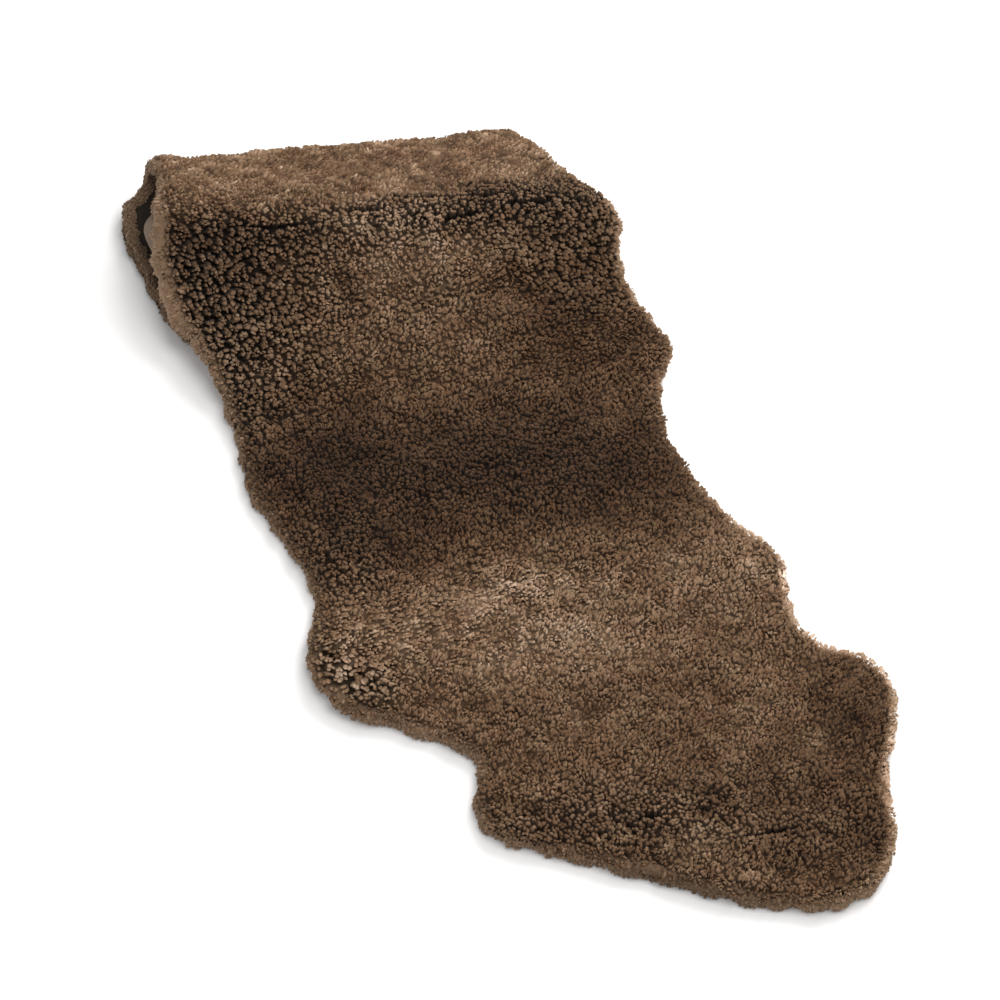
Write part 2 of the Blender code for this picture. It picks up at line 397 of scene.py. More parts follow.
# where the wool at the rim stands up instead of rolling under, 0 to 1
standing = {
    "rightTop": (0.33, 1.0, 0.07, 0.2, 0.3),
    "right": (0.33, 0.6, 0.08, 0.18, 0.7),
    "rightNear": (0.35, 0.22, 0.14, 0.24, 1.1),
}

# lumps in the wool's top: how wide, how high and the seed; and then how strong they are where
lumps = {"small": (0.015, 0.0011, 61), "large": (0.03, 0.0014, 62)}
lumpiness = {
    "everywhere": 1.0,
    "lobe": (-0.31, 0.44, 0.07, 0.06, 2.6),
    "crease": (-0.18, 0.49, 0.17, 0.08, 0.6),
    "nearEnd": (0.02, 0.15, 0.18, 0.06, 2.0),
    "slope": (-0.02, 1.01, 0.16, 0.1, -0.5),
    "strip": (-0.05, 1.34, 0.4, 0.075, -0.2),
}


def mottle(across, along, size, seed):
    # soft random patches of about the given size
    grid = np.random.default_rng(seed).normal(0, 1, (211, 223))
    u, v = (across + 1) / size, (along + 1) / size
    i, j = np.floor(u).astype(int), np.floor(v).astype(int)
    fu, fv = eased(u - i, 0, 1), eased(v - j, 0, 1)
    i0, i1, j0, j1 = i % 211, (i + 1) % 211, j % 223, (j + 1) % 223
    return ((grid[i0, j0] * (1 - fu) + grid[i1, j0] * fu) * (1 - fv)
            + (grid[i0, j1] * (1 - fu) + grid[i1, j1] * fu) * fv)


def lumpsAt(across, along):
    height = sum(rise * mottle(across, along, size, seed) for size, rise, seed in lumps.values())
    return height * field(lumpiness, across, along)


def velvetAt(across, along):
    return np.clip(field(velvet, across, along), 0, 1)


def standingAt(across, along):
    return np.clip(field(standing, across, along), 0, 1)


def swirl(across, along):
    # neighbouring locks lean much the same way, and it wanders over the skin
    return np.stack([waves(across, along, rows) for rows in lock["wander"]], -1) / 3


def treeOf(places):
    # for finding the nearest of some flat places
    tree = kdtree.KDTree(len(places))
    for i, (x, s) in enumerate(places):
        tree.insert((x, s, 0.0), i)
    tree.balance()
    return tree


def nearestIn(tree, places):
    return np.array([tree.find((x, s, 0.0))[1] for x, s in places])


loop, into, swing, loopAt = rimLoop()
rimTree = treeOf(loop)


def toRim(points):
    # how far inside the outline each flat place is, and the way in from the rim there
    nearest = nearestIn(rimTree, points)
    return np.array([(p - loop[i]) @ into[i] for p, i in zip(points, nearest)]), into[nearest]


def fromPartings(points):
    # how far each flat place is from a parting, and the way out of it
    far = np.full(len(points), 9.0)
    away = np.zeros((len(points), 2))
    strayed = points + lock["partingStrays"] * swirl(*points.T)  # so that no parting runs straight
    for x0, s0, x1, s1 in partings:
        a, b = np.array([x0, s0]), np.array([x1, s1])
        t = np.clip((strayed - a) @ (b - a) / ((b - a) @ (b - a)), 0, 1)
        gap = strayed - (a + t[:, None] * (b - a))
        d = np.linalg.norm(gap, axis=1) / (0.5 + 0.7 * np.sin(math.pi * t))  # closes at its ends
        closer = d < far
        away[closer] = unit(gap[closer])
        far = np.minimum(far, d)
    return far, away


def scatter(seed, pitch, spacingAt, inset, hiddenEdge):
    # even but irregular places on the skin, closer together where spacingAt is small
    rng = np.random.default_rng(seed)
    x, s = np.meshgrid(np.arange(-0.42, 0.44, pitch), np.arange(-0.01, 1.82, pitch))
    places = np.stack([x.ravel(), s.ravel()], 1)
    places += rng.uniform(-0.5, 0.5, places.shape) * pitch
    turnOf = np.unwrap(np.arctan2(lineAhead[:, 1], lineAhead[:, 0]))
    bent = np.interp(places[:, 1], lineAlong, -np.gradient(turnOf, lineAlong))
    stretch = np.clip(1 + 0.017 * bent, 0.9, 2.2)  # the tips are further apart where the skin bends
    far, _ = toRim(places)
    gap, _ = fromPartings(places)
    under = places[:, 1] > lie["bendAlong"] + 0.06
    keep = (far > inset) & (gap > lock["partingGap"]) & ~(under & (far > hiddenEdge))
    places, stretch = places[keep], stretch[keep]
    spacing = spacingAt(*places.T) * rng.uniform(0.94, 1.08, len(places))
    cell = float(spacing.max())
    taken, chosen = {}, []
    for k in rng.permutation(len(places)).tolist():
        px, ps = places[k]
        w, h = stretch[k], spacing[k]
        cx, cs = int(px // cell), int(ps // cell)
        near = [q for i in (cx - 1, cx, cx + 1) for j in (cs - 1, cs, cs + 1) for q in taken.get((i, j), ())]
        if all((qx - px) ** 2 + ((qs - ps) * w) ** 2 >= h * h for qx, qs in near):
            taken.setdefault((cx, cs), []).append((px, ps))
            chosen.append(k)
    return places[chosen], spacing[chosen]


# the curled locks, in metres where nothing else is said
lock = {
    # sides, then shares of the way up and the girths there, where locks stand apart and where they are closed
    "open": (5, ((0.08, 0.84), (0.6, 1.06), (0.9, 0.7))),
    "closed": (4, ((0.3, 1.0), (0.82, 0.92))),
    "width": 1.44,  # of the room that it has
    "length": 0.0135,
    "top": 0.0284,  # height of the tips over the leather
    "bend": 0.0022,  # how far the tip hangs over
    "sway": 0.0009,
    "rough": 0.09,
    "squash": (0.66, 1.0),
    "strays": 0.0036,  # how far a lock leans its own way, and a clump
    "clumpStrays": 0.004,
    "swirls": 0.0034,  # how far neighbours lean the same way, and the waves that turn it
    "wander": (((118, 41, 1.1), (52, -133, 0.3), (171, 149, 4.0)),
               ((97, -88, 2.2), (140, 61, 5.1), (-33, 187, 0.8))),
    "outwards": 0.0028,  # lean over the rim, and what wool that stands up leans less
    "standsUp": 0.0016,
    "rolled": 0.0054,  # how much lower the tips are at the rim, and more where it is like velvet
    "velvety": 0.0042,
    "pressed": 0.002,  # how much lower the brushed strip is, and the hidden side
    "pressedUnder": 0.003,
    "partingGap": 0.002,  # no lock grows this near a parting, and those beside it lean away
    "partingLean": 0.003,
    "partingDip": 0.0032,
    "partingStrays": 0.0022,
    "mostTriangles": 190000,  # in one piece
}


def leanAt(across, along, far, inwards, gap, away, rng, strays):
    # which way the tips go, sideways and along
    angle = rng.uniform(0, 2 * math.pi, len(across))
    own = np.stack([np.cos(angle), np.sin(angle)], 1) * rng.uniform(0.2, 1.0, len(across))[:, None]
    lean = own * strays + lock["swirls"] * swirl(across, along)
    lean += np.stack([field(combing, across, along, 4), field(combing, across, along, 5)], 1)
    outwards = lock["outwards"] - lock["standsUp"] * standingAt(across, along)
    lean -= inwards * (outwards * (1 - eased(far, 0.004, 0.024)))[:, None]
    lean += away * (lock["partingLean"] * (1 - eased(gap, 0.001, 0.01)))[:, None]
    return lean


def heightAt(across, along, far, gap):
    # the tips' height above the leather's line
    under = eased(along, lie["bendAlong"] + 0.02, lie["bendAlong"] + 0.06)
    top = thickness(across, along) * lock["top"] / lie["wool"] + lumpsAt(across, along) - 0.0004
    smooth = velvetAt(across, along)
    rolled = 1 - 0.8 * standingAt(across, along)
    dip = (lock["rolled"] + lock["velvety"] * smooth) * rolled \
        * (1 - eased(far, 0.002, 0.012 + 0.011 * smooth)) ** 1.4
    top = top - lock["pressed"] * stripAt(across, along) - dip - lock["pressedUnder"] * under
    return top - lock["partingDip"] * (1 - eased(gap, 0.001, 0.006))


def makeClumps():
    # the centres that the tips of neighbouring locks draw together at
    places, spacing = scatter(17, 0.003, lambda x, s: grain["clumps"] + field(grain, x, s), 0.005, 0.075)
    rng = np.random.default_rng(18)
    across, along = places.T
    lean = leanAt(across, along, *toRim(places), *fromPartings(places), rng, lock["clumpStrays"])
    return {
        "places": places,
        "spacing": spacing,
        "lean": lean,
        "lift": rng.normal(0, 0.0006 + 0.0007 * opennessAt(across, along)),
        "tone": rng.normal(1.0, 0.1, len(places)),
        "turn": rng.normal(0, 0.9, len(places)),
    }


def ringRound(middle, radius, squash, side, other, phase, sides, rough, rng):
    # one ring of points round the middle of each lock
    turn = np.arange(sides) * 2 * math.pi / sides + phase[:, None]
    r = radius[:, None] * rng.normal(1, rough, (len(middle), sides))
    return (middle[:, None] + (r * np.cos(turn))[..., None] * side[:, None]
            + (r * np.sin(turn) * squash)[..., None] * other[:, None])


def makeLocks(places, spacing, owner, clumps, sides, profile, seed):
    # each lock rises from the skin, bends over and is drawn to its clump's tip
    rng = np.random.default_rng(seed)
    n = len(places)
    across, along = places.T
    far, inwards = toRim(places)
    gap, away = fromPartings(places)
    here, ahead, up = base(across, along)
    apart = opennessAt(across, along)
    drawn = np.clip(field(gathering, across, along), 0, 0.97)
    lean = leanAt(across, along, far, inwards, gap, away, rng, lock["strays"])

    # drawn to the clump's centre, where large closed clumps keep a wider crown
    toCentre = clumps["places"][owner] - places
    gather = drawn * rng.uniform(0.8, 1.0, n)
    big = np.clip((clumps["spacing"][owner] - 0.008) / 0.003, 0, 1) * (1 - apart)
    spread = np.stack([0.38 - 0.18 * apart, 0.42 + 0.12 * apart], 1) + 0.45 * big[:, None]
    goal = toCentre * (1 - spread) + clumps["lean"][owner]
    lean = lean * (1 - gather)[:, None] + goal * gather[:, None]
    c, w = np.cos(clumps["turn"][owner]), np.sin(clumps["turn"][owner])
    twist = np.stack([c * toCentre[:, 0] - w * toCentre[:, 1], w * toCentre[:, 0] + c * toCentre[:, 1]], 1)
    offCentre = np.linalg.norm(toCentre, axis=1) / clumps["spacing"][owner]

    # lower away from the centre, and shorter at the rim
    uneven = 0.0006 + 0.0008 * stripAt(across, along) * (1 - eased(along, 1.33, 1.38))
    top = heightAt(across, along, far, gap) + clumps["lift"][owner] + rng.normal(0, 1, n) * uneven
    top -= (0.0014 * drawn + 0.002 * apart + 0.0032 * big) * np.clip(offCentre, 0, 0.8) ** 1.3
    root = top - lock["length"] * (1 - 0.35 * (1 - eased(far, 0.004, 0.02)))
    girth = 0.5 * lock["width"] * spacing * rng.uniform(0.8, 1.18, n) * (1 - 0.1 * apart)
    girth *= np.exp(rng.normal(0, 0.22, n) * apart)
    squash = rng.uniform(*lock["squash"], n)
    phase = rng.uniform(0, 2 * math.pi, n)
    curlOver = lock["bend"] * rng.uniform(0.4, 1.5, n)
    sway = rng.normal(0, lock["sway"], n)
    side = unit(np.stack([-lean[:, 1], lean[:, 0], np.zeros(n)], 1) + 1e-9)

    def spine(t):
        # the lock's middle at a share of its length
        reach = t ** 1.7
        rise = 1 - (1 - t) ** 1.8
        droop = curlOver * max(t - 0.45, 0.0) / 0.55
        sideways = 0.45 * twist * math.sin(math.pi * t) * gather[:, None]
        point = np.column_stack([lean * reach + sideways, root + (top - root) * rise - droop])
        return point + side * (sway * math.sin(math.pi * t))[:, None]

    points, tips = [], []
    for t, share in profile + ((1.0, 0.0),):
        ring = spine(t)[:, None]
        if t < 1:
            heading = unit(spine(min(t + 0.06, 1.0)) - spine(max(t - 0.06, 0.0)))
            ring = ringRound(spine(t), girth * share, squash[:, None], side, np.cross(heading, side),
                             phase, sides, lock["rough"], rng)
        points.append(ring)
        tips.append(np.full(ring.shape[:2], t))
    local = np.concatenate(points, 1)
    tips = np.concatenate(tips, 1)
    world = (here[:, None] + local[..., :1] * np.array([1.0, 0, 0])
             + local[..., 1:2] * ahead[:, None] + local[..., 2:] * up[:, None])
    world[..., 2] = np.maximum(world[..., 2], 0.0004 + 0.0006 * rng.random((n, 1)))

    # painted shade far down the locks where they stand apart, and painted light making them all pale where
    # the rim stands up
    tips = tips ** (1 + 3.2 * apart)[:, None]
    velvety = np.clip(field(standing, across, along), 0, 0.9) * (1 - eased(far, 0.009, 0.017))
    tips += (1 - tips) * velvety[:, None]
    outward = unit(up - 0.5 * np.column_stack([inwards, np.zeros(n)]) * (1 - eased(far, 0, 0.012))[:, None])
    evenly = 0.62 - 0.62 * apart - 0.4 * stripAt(across, along) + 0.2 * toneAndPaintedLightAt(across, along)
    evenly += (0.92 - evenly) * (1 - eased(far, 0.008, 0.018))
    return world, tips, outward, evenly


def lockFaces(sides, ringCount):
    # one lock's faces: rings of quads, closed by triangles at the tip
    quads, triangles = [], []
    for k in range(ringCount - 1):
        for j in range(sides):
            m = (j + 1) % sides
            quads.append((k * sides + j, k * sides + m, (k + 1) * sides + m, (k + 1) * sides + j))
    for j in range(sides):
        last = (ringCount - 1) * sides
        triangles.append((last + j, last + (j + 1) % sides, ringCount * sides))
    return np.array(quads, int).reshape(-1, 4), np.array(triangles)


def toneAndPaintedLightAt(across, along):
    # lighter and darker patches at random, the painted light and shade of its table, and painted light on top
    # of the lumps
    patches = 0.1 * mottle(across, along, 0.014, 71) + 0.1 * mottle(across, along, 0.034, 72)
    patches += 0.3 * stripAt(across, along) * mottle(0.35 * across + 0.1 * along, along, 0.0055, 73)
    return np.exp(field(paintedLightAndShade, across, along) + patches + 65 * np.clip(lumpsAt(across, along), -0.004, 0.004))


# colours of the wool: near black at its roots and darker between the locks, painted shade deep in the pile,
# and paler at its tips, partly sun-bleached wool and partly painted highlight on the locks' tops
dye = {
    "root": (0.0062, 0.0032, 0.0016, 1.0),
    "low": (0.03, 0.017, 0.009, 1.0),
    "between": (0.092, 0.054, 0.031, 1.0),
    "body": (0.148, 0.0895, 0.0525, 1.0),
    "tip": (0.234, 0.144, 0.087, 1.0),
    # how fast green and blue fall off against red where the wool is darker
    "falls": (1.2, 1.46),
}


def fill(tree, node, inputs):
    # each input gets a value, or is linked to another node's output
    for socket, value in inputs.items():
        if isinstance(value, bpy.types.NodeSocket):
            tree.links.new(value, node.inputs[socket])
        else:
            node.inputs[socket].default_value = value
    return node


def newMaterial(name, values):
    material = bpy.data.materials.new(name)
    material.use_nodes = True
    tree = material.node_tree
    return material, tree, fill(tree, tree.nodes["Principled BSDF"], values)


def addNode(tree, kind, inputs, operation=None):
    node = tree.nodes.new(kind)
    if operation:
        node.operation = operation
    return fill(tree, node, inputs)


def addNoise(tree, place, scale, detail, rough=0.5):
    return addNode(tree, "ShaderNodeTexNoise", {
        "Vector": place, "Scale": scale, "Detail": detail, "Roughness": rough}).outputs["Fac"]


def addMix(tree, blend, factor, a, b):
    node = tree.nodes.new("ShaderNodeMix")
    node.data_type = "RGBA"
    node.blend_type = blend
    return fill(tree, node, {"Factor": factor, "A": a, "B": b}).outputs["Result"]


def addMark(tree, name):
    # reads a value marked on the mesh
    node = tree.nodes.new("ShaderNodeAttribute")
    node.attribute_name = name
    return node.outputs["Fac"]


def addCombed(tree):
    node = tree.nodes.new("ShaderNodeUVMap")
    node.uv_map = "combed"
    return node.outputs["UV"]


def addRamp(tree, at, ramp, blend):
    # colours at their places from 0 to 1
    node = addNode(tree, "ShaderNodeValToRGB", {"Fac": at})
    node.color_ramp.interpolation = blend
    stops = node.color_ramp.elements
    while len(stops) < len(ramp):
        stops.new(0.5)
    for stop, (position, colour) in zip(stops, ramp):
        stop.position = position
        stop.color = colour
    return node.outputs["Color"]


def addBump(tree, height, strength, depth):
    return addNode(tree, "ShaderNodeBump", {
        "Height": height, "Strength": strength, "Distance": depth}).outputs["Normal"]


def woolMaterial(name, ramp, fineScale, bumpDepth, sheen, streaked):
    # dark roots to pale tips, toned by lock with its painted light and shade, in patches and by fibre
    material, tree, shader = newMaterial(name, {
        "Roughness": 0.92, "Specular IOR Level": 0.22, "Sheen Weight": sheen,
        "Sheen Roughness": 0.45, "Sheen Tint": (0.78, 0.6, 0.44, 1.0)})
    place = tree.nodes.new("ShaderNodeTexCoord").outputs["Object"]
    patches = addNoise(tree, place, 26.0, 3.0)
    hue = addMix(tree, "MIX", patches, (1.1, 0.97, 0.92, 1.0), (0.92, 1.02, 0.98, 1.0))
    tinted = addMix(tree, "MULTIPLY", 1.0, addRamp(tree, addMark(tree, "tip"), ramp, "EASE"), hue)
    fibres = addNoise(tree, addCombed(tree) if streaked else place, fineScale, 4.0, 0.65)
    fibreTone = addNode(tree, "ShaderNodeMapRange", {
        "Value": fibres, "From Min": 0.3, "From Max": 0.7, "To Min": 0.68, "To Max": 1.32})
    tone = addNode(tree, "ShaderNodeMath", {
        0: fibreTone.outputs["Result"], 1: addMark(tree, "tone")}, "MULTIPLY").outputs["Value"]
    falls = tree.nodes.new("ShaderNodeCombineXYZ")
    fill(tree, falls, {"X": tone})
    for power, socket in zip(dye["falls"], ("Y", "Z")):
        fallen = addNode(tree, "ShaderNodeMath", {0: tone, 1: power}, "POWER")
        fill(tree, falls, {socket: fallen.outputs["Value"]})
    shaded = addNode(tree, "ShaderNodeVectorMath", {0: tinted, 1: falls.outputs["Vector"]}, "MULTIPLY")
    fill(tree, shader, {"Base Color": shaded.outputs["Vector"],
                        "Normal": addBump(tree, fibres, 0.7, bumpDepth)})
    return material


lockWool = woolMaterial(
    "curled wool", ((0.0, dye["root"]), (0.24, dye["low"]), (0.52, dye["body"]), (1.0, dye["tip"])),
    fineScale=1.0, bumpDepth=0.0007, sheen=0.2, streaked=True)
underWool = woolMaterial(
    "wool between the locks", ((0.0, dye["root"]), (0.5, dye["low"]), (1.0, dye["between"])),
    fineScale=420.0, bumpDepth=0.002, sheen=0.05, streaked=False)

# the dense wool below the locks' tips
under = {
    "rows": 250,
    "columns": 84,
    "inset": 0.009,
    "height": 0.8,  # share of the thickness, and how much less where locks stand apart
    "lower": 0.34,
    "rolled": 0.007,  # how much lower it is near the rim, and in a parting
    "slit": 0.0075,
}


def makeUndercoat():
    places = skinGrid(under["rows"], under["columns"])
    far, inwards = toRim(places)
    places = places + inwards * np.clip(under["inset"] - far, 0, 0.012)[:, None]
    far = np.maximum(far, under["inset"])
    rng = np.random.default_rng(3)
    across, along = places.T
    apart = opennessAt(across, along)
    height = thickness(across, along) * (
        under["height"] - under["lower"] * apart + 0.03 * rng.standard_normal(len(places)))
    slit = 1 - eased(fromPartings(places)[0], 0.002, 0.008)
    height += lumpsAt(across, along) - under["rolled"] * (1 - eased(far, 0.008, 0.024)) - under["slit"] * slit
    quads = gridQuads(under["rows"], under["columns"])[:, ::-1]
    piece = meshFrom("undercoat", laid(across, along, height), [quads], underWool)
    # painted shade: darker where the locks stand apart and in the partings, where the gaps between them lie
    # in shade
    mark(piece, "tip", 1.0 - 0.95 * apart - 0.75 * slit + 0.08 * rng.standard_normal(len(places)))
    mark(piece, "tone", toneAndPaintedLightAt(across, along) ** 1.2)
    return piece


undercoat = makeUndercoat()
print("undercoat", len(undercoat.data.polygons))

# where the skin is held off the part below, the wool at its rim hangs down over the opening
hanging = {
    "from": (1.0, 1.08),
    "to": (1.26, 1.33),
    "down": 0.008,
    "out": 0.006,
}


def hangAt(along):
    return eased(along, *hanging["from"]) * (1 - eased(along, *hanging["to"]))


# painted light and shade on the rim: lighter on the right, where the light from behind catches it, and darker
# where it is turned away from the light, as at the near end and deep in the fold
rimPaintedLight = {
    "everywhere": -0.04,
    "rightTop": (0.32, 1.1, 0.08, 0.25, 0.24),
    "right": (0.33, 0.6, 0.1, 0.2, 0.3),
    "rightNear": (0.34, 0.2, 0.16, 0.24, 0.56),
    "leftOfRidge": (-0.37, 1.12, 0.08, 0.12, 0.08),
    "stripLeft": (-0.34, 1.34, 0.06, 0.06, -0.06),
    "leftMiddle": (-0.33, 0.75, 0.08, 0.18, -0.14),
    "lobe": (-0.33, 0.43, 0.09, 0.09, -0.08),
    "nearLeft": (-0.19, 0.23, 0.06, 0.08, -0.14),
    "nearEnd": (0.0, 0.06, 0.18, 0.08, -0.32),
    "under": (-0.38, 1.6, 0.1, 0.17, -0.54),
}


def soften(piece, outward, share):
    # shade the locks partly as one surface, as light goes through wool
    normals = np.empty(len(piece.data.vertices) * 3, np.float32)
    piece.data.vertices.foreach_get("normal", normals)
    mixed = normals.reshape(-1, 3) * (1 - share)[:, None] + outward * share[:, None]
    piece.data.normals_split_custom_set_from_vertices(unit(mixed))


def joinLocks(name, world, tips, tone, faces, material):
    # many locks as one mesh, each with its own run of fibres
    count, each = world.shape[:2]
    first = (np.arange(count) * each)[:, None, None]
    parts = [(part[None] + first).reshape(-1, part.shape[1]) for part in faces]
    piece = meshFrom(name, world.reshape(-1, 3), parts, material)
    mark(piece, "tip", tips)
    mark(piece, "tone", np.repeat(tone, each))
    sides = len(faces[1])
    comb(piece, lambda corner: ((corner % each) % sides * 1.1 + (corner // each) * 3.7,
                                (corner % each) // sides * 0.7))
    return piece


clumps = makeClumps()
print("clumps", len(clumps["places"]))


def lockSpacing(across, along):
    # wider where locks stand apart and where the curls are large
    apart = opennessAt(across, along)
    coarser = 0.3 * np.clip(field(grain, across, along), 0, 1) * (1 - apart)
    return grain["locks"] + (grain["openLocks"] - grain["locks"]) * eased(apart, 0.15, 0.6) + coarser


places, spacing = scatter(11, 0.0016, lockSpacing, 0.003, 0.035)
print("locks", len(places))
owner = nearestIn(treeOf(clumps["places"]), places)

# each lock's tone: its place's, with painted light and shade, its clump's and its own, and painted lighter
# near the rim where the light from behind catches it
rng = np.random.default_rng(5)
farIn, _ = toRim(places)
varied = 1 + rng.normal(0, 1, len(places)).clip(-3, 3) * (0.14 + 0.1 * stripAt(*places.T))
toneAndLightOfLock = toneAndPaintedLightAt(*places.T) * varied * clumps["tone"][owner]
paintedRimLightGain = 0.1 + 2.9 * np.clip(field(rimPaintedLight, *places.T) - 0.04, -0.1, 0.5)
toneAndLightOfLock *= np.exp(paintedRimLightGain * (1 - eased(farIn, 0.006, 0.021)))

# open and closed locks, split along the skin so that no piece is too large
standsApart = opennessAt(*places.T) > 0.3
lockPieces = []
for kind, chosen in (("open", standsApart), ("closed", ~standsApart)):
    sides, profile = lock[kind]
    faces = lockFaces(sides, len(profile))
    each = sides * (2 * len(profile) - 1)
    order = np.flatnonzero(chosen)
    order = order[np.argsort(places[order, 1], kind="stable")]
    for some in np.array_split(order, math.ceil(len(order) * each / lock["mostTriangles"])):
        number = len(lockPieces) + 1
        world, tips, outward, share = makeLocks(
            places[some], spacing[some], owner[some], clumps, sides, profile, 100 + number)
        piece = joinLocks(f"locks_{number}", world, tips, toneAndLightOfLock[some], faces, lockWool)
        soften(piece, np.repeat(outward, tips.shape[1], 0), np.repeat(share, tips.shape[1]))
        lockPieces.append(piece)
        print(piece.name, len(some))

# the rim, where the sides of the outermost locks are seen
rim = {
    # in from the outline, share of the thickness
    "section": ((0.02, 0.6), (0.013, 0.72), (0.0085, 0.72), (0.0055, 0.64), (0.0038, 0.53),
                (0.0032, 0.4), (0.0036, 0.26), (0.0055, 0.13), (0.009, 0.05), (0.0125, 0.02)),
    "light": ((0, -0.3), (2, -0.1), (5, 0.12), (9, 0.06)),  # at these rings of the section
    "rough": 0.0009,
    "pale": (0.4, 0.268, 0.172, 1.0),
    "warm": (0.27, 0.172, 0.104, 1.0),
    "deep": (0.115, 0.072, 0.043, 1.0),
}


def rimMaterial():
    # streaky fibres, bleached at their tips, their colour also carrying the rim's painted light and shade
    material, tree, shader = newMaterial("wool at the rim", {
        "Roughness": 0.95, "Specular IOR Level": 0.15, "Sheen Weight": 0.45,
        "Sheen Roughness": 0.4, "Sheen Tint": (0.86, 0.68, 0.52, 1.0)})
    strands = addNoise(tree, addCombed(tree), 1.0, 5.0, 0.6)
    mixed = addNode(tree, "ShaderNodeMath", {0: strands, 1: 0.75, 2: addMark(tree, "tip")}, "MULTIPLY_ADD")
    colours = ((0.22, rim["deep"]), (0.66, rim["warm"]), (1.0, rim["pale"]))
    fill(tree, shader, {"Base Color": addRamp(tree, mixed.outputs["Value"], colours, "LINEAR"),
                        "Normal": addBump(tree, strands, 0.6, 0.0012)})
    return material


def makeRim(material):
    # a band round the edge, its section following the outline in and out
    rng = np.random.default_rng(21)
    section = np.array(rim["section"])
    count, rings = len(loop), len(section)
    flat = loop[:, None] + (section[None, :, :1] - swing[:, None, None]) * into[:, None]
    rough = rng.normal(0, rim["rough"], (count, rings, 1))
    rough = 0.5 * rough + 0.25 * (np.roll(rough, 1, 0) + np.roll(rough, -1, 0))
    hang = hangAt(loop[:, 1])[:, None]
    outwards = hanging["out"] * hang * (1 - eased(section[None, :, 0], 0.004, 0.013))
    flat = flat + (rough - outwards[..., None]) * into[:, None]
    across, along = flat.reshape(-1, 2).T
    share = np.tile(section[:, 1], count)
    share = share - 0.08 * (1 - velvetAt(across, along)) * eased(share, 0.45, 0.7)
    above = share * thickness(across, along)
    above -= (hanging["down"] * hang * (1 - eased(section[None, :, 1], 0.2, 0.72))).ravel()
    quads = gridQuads(count, rings, True)[:, ::-1]
    piece = meshFrom("rim", laid(across, along, above), [quads], material)
    light = np.tile(np.interp(np.arange(rings), *zip(*rim["light"])), count)
    wander = 0.04 * (np.sin(loopAt * 37) + np.sin(loopAt * 91)) + field(rimPaintedLight, *loop.T)
    mark(piece, "tip", light + np.repeat(wander, rings))
    comb(piece, lambda corner: (loopAt[corner // rings] * 700, (corner % rings) * 0.35))
    return piece


rimWool = rimMaterial()
rimPiece = makeRim(rimWool)
print("rim", len(rimPiece.data.polygons))

# small locks that lie over the rim in rows, and the fuzz on them
rimLocks = {
    "pitch": 0.0036,
    # in from the outline, height share at the root, at the tip, how far out the tip reaches
    "rows": ((0.012, 0.6, 0.7, 0.0088), (0.0084, 0.54, 0.56, 0.0068),
             (0.007, 0.4, 0.34, 0.0062), (0.0074, 0.22, 0.13, 0.0054)),
    # shares of the length and girths there
    "profile": ((0.0, 0.8), (0.45, 1.05), (0.84, 0.8), (1.0, 0.0)),
    "girth": 0.0021,
    "lighter": 0.3,  # how much lighter the tip is than the root
    "droop": 0.0018,
    "fuzz": 28000,
    "fuzzLength": 0.0034,
    "fuzzGirth": 0.0003,
}


def strandsAt(root, way, length, girth, droop, profile, sides, rng):
    # tapered strands from their roots, the way they run and how far they droop
    n = len(root)
    side = unit(np.cross(way, rng.normal(0, 1, (n, 3))))
    other = np.cross(way, side)
    phase = rng.uniform(0, 2 * math.pi, n)
    points, tips = [], []
    for t, share in profile:
        middle = root + way * (length * t)[:, None] + np.array([0.0, 0.0, -droop]) * (t * t)
        ring = middle[:, None]
        if share > 0:
            ring = ringRound(middle, girth * share, 1, side, other, phase, sides, 0.07, rng)
        points.append(ring)
        tips.append(np.full(ring.shape[:2], t))
    world = np.concatenate(points, 1)
    world[..., 2] = np.maximum(world[..., 2], 0.0005)
    return world, np.concatenate(tips, 1)


def alongRim(at):
    # flat places on the outline, the way in, the way along it and the locks' swing there
    k = np.interp(at, loopAt, np.arange(len(loopAt)))
    i = np.floor(k).astype(int) % len(loop)
    return loop[i], into[i], np.stack([into[i, 1], -into[i, 0]], 1), swing[i]


def rowAlongRim(pitch, rng):
    # a row of such places, not quite evenly spaced
    at = np.arange(0, loopAt[-1], pitch)
    return alongRim(at + rng.uniform(-0.35, 0.35, len(at)) * pitch)


def lockRow(root, tip, edge, girth, droop, profile, rng):
    # a row of small locks and how light each is
    way = tip - root
    world, tips = strandsAt(root, unit(way), np.linalg.norm(way, axis=1), girth, droop, profile, 4, rng)
    return world, tips, rng.normal(0.0, 0.07, len(edge)) + field(rimPaintedLight, *edge.T)


def joinRows(name, rows, settings):
    world, tips, tone = (np.concatenate(parts) for parts in zip(*rows))
    light = 0.02 + settings["lighter"] * tips + tone[:, None]
    return joinLocks(name, world, light, tone, lockFaces(4, len(settings["profile"]) - 1), rimWool)


def makeRimLocks():
    rng = np.random.default_rng(31)
    rows = []
    for inset, rootShare, tipShare, reach in rimLocks["rows"]:
        edge, inwards, run, wave = rowAlongRim(rimLocks["pitch"], rng)
        n = len(edge)
        start = edge + inwards * (inset - wave + rng.normal(0, 0.0006, n))[:, None]
        slant = rng.normal(0, 0.36, n)[:, None]
        hang = hangAt(edge[:, 1])
        length = reach * rng.uniform(0.82, 1.08, n) + hanging["out"] * hang
        end = start - unit(inwards + slant * run) * length[:, None]
        thick = thickness(*edge.T)
        lift = np.maximum(thick * (tipShare + rng.normal(0, 0.05, n)), 0.0012)
        tip = laid(*end.T, lift - hanging["down"] * hang * (1 - tipShare))
        girth = rimLocks["girth"] * rng.uniform(0.8, 1.2, n)
        root = laid(*start.T, thick * rootShare)
        rows.append(lockRow(root, tip, edge, girth, rimLocks["droop"], rimLocks["profile"], rng))
    return joinRows("rim_locks", rows, rimLocks)


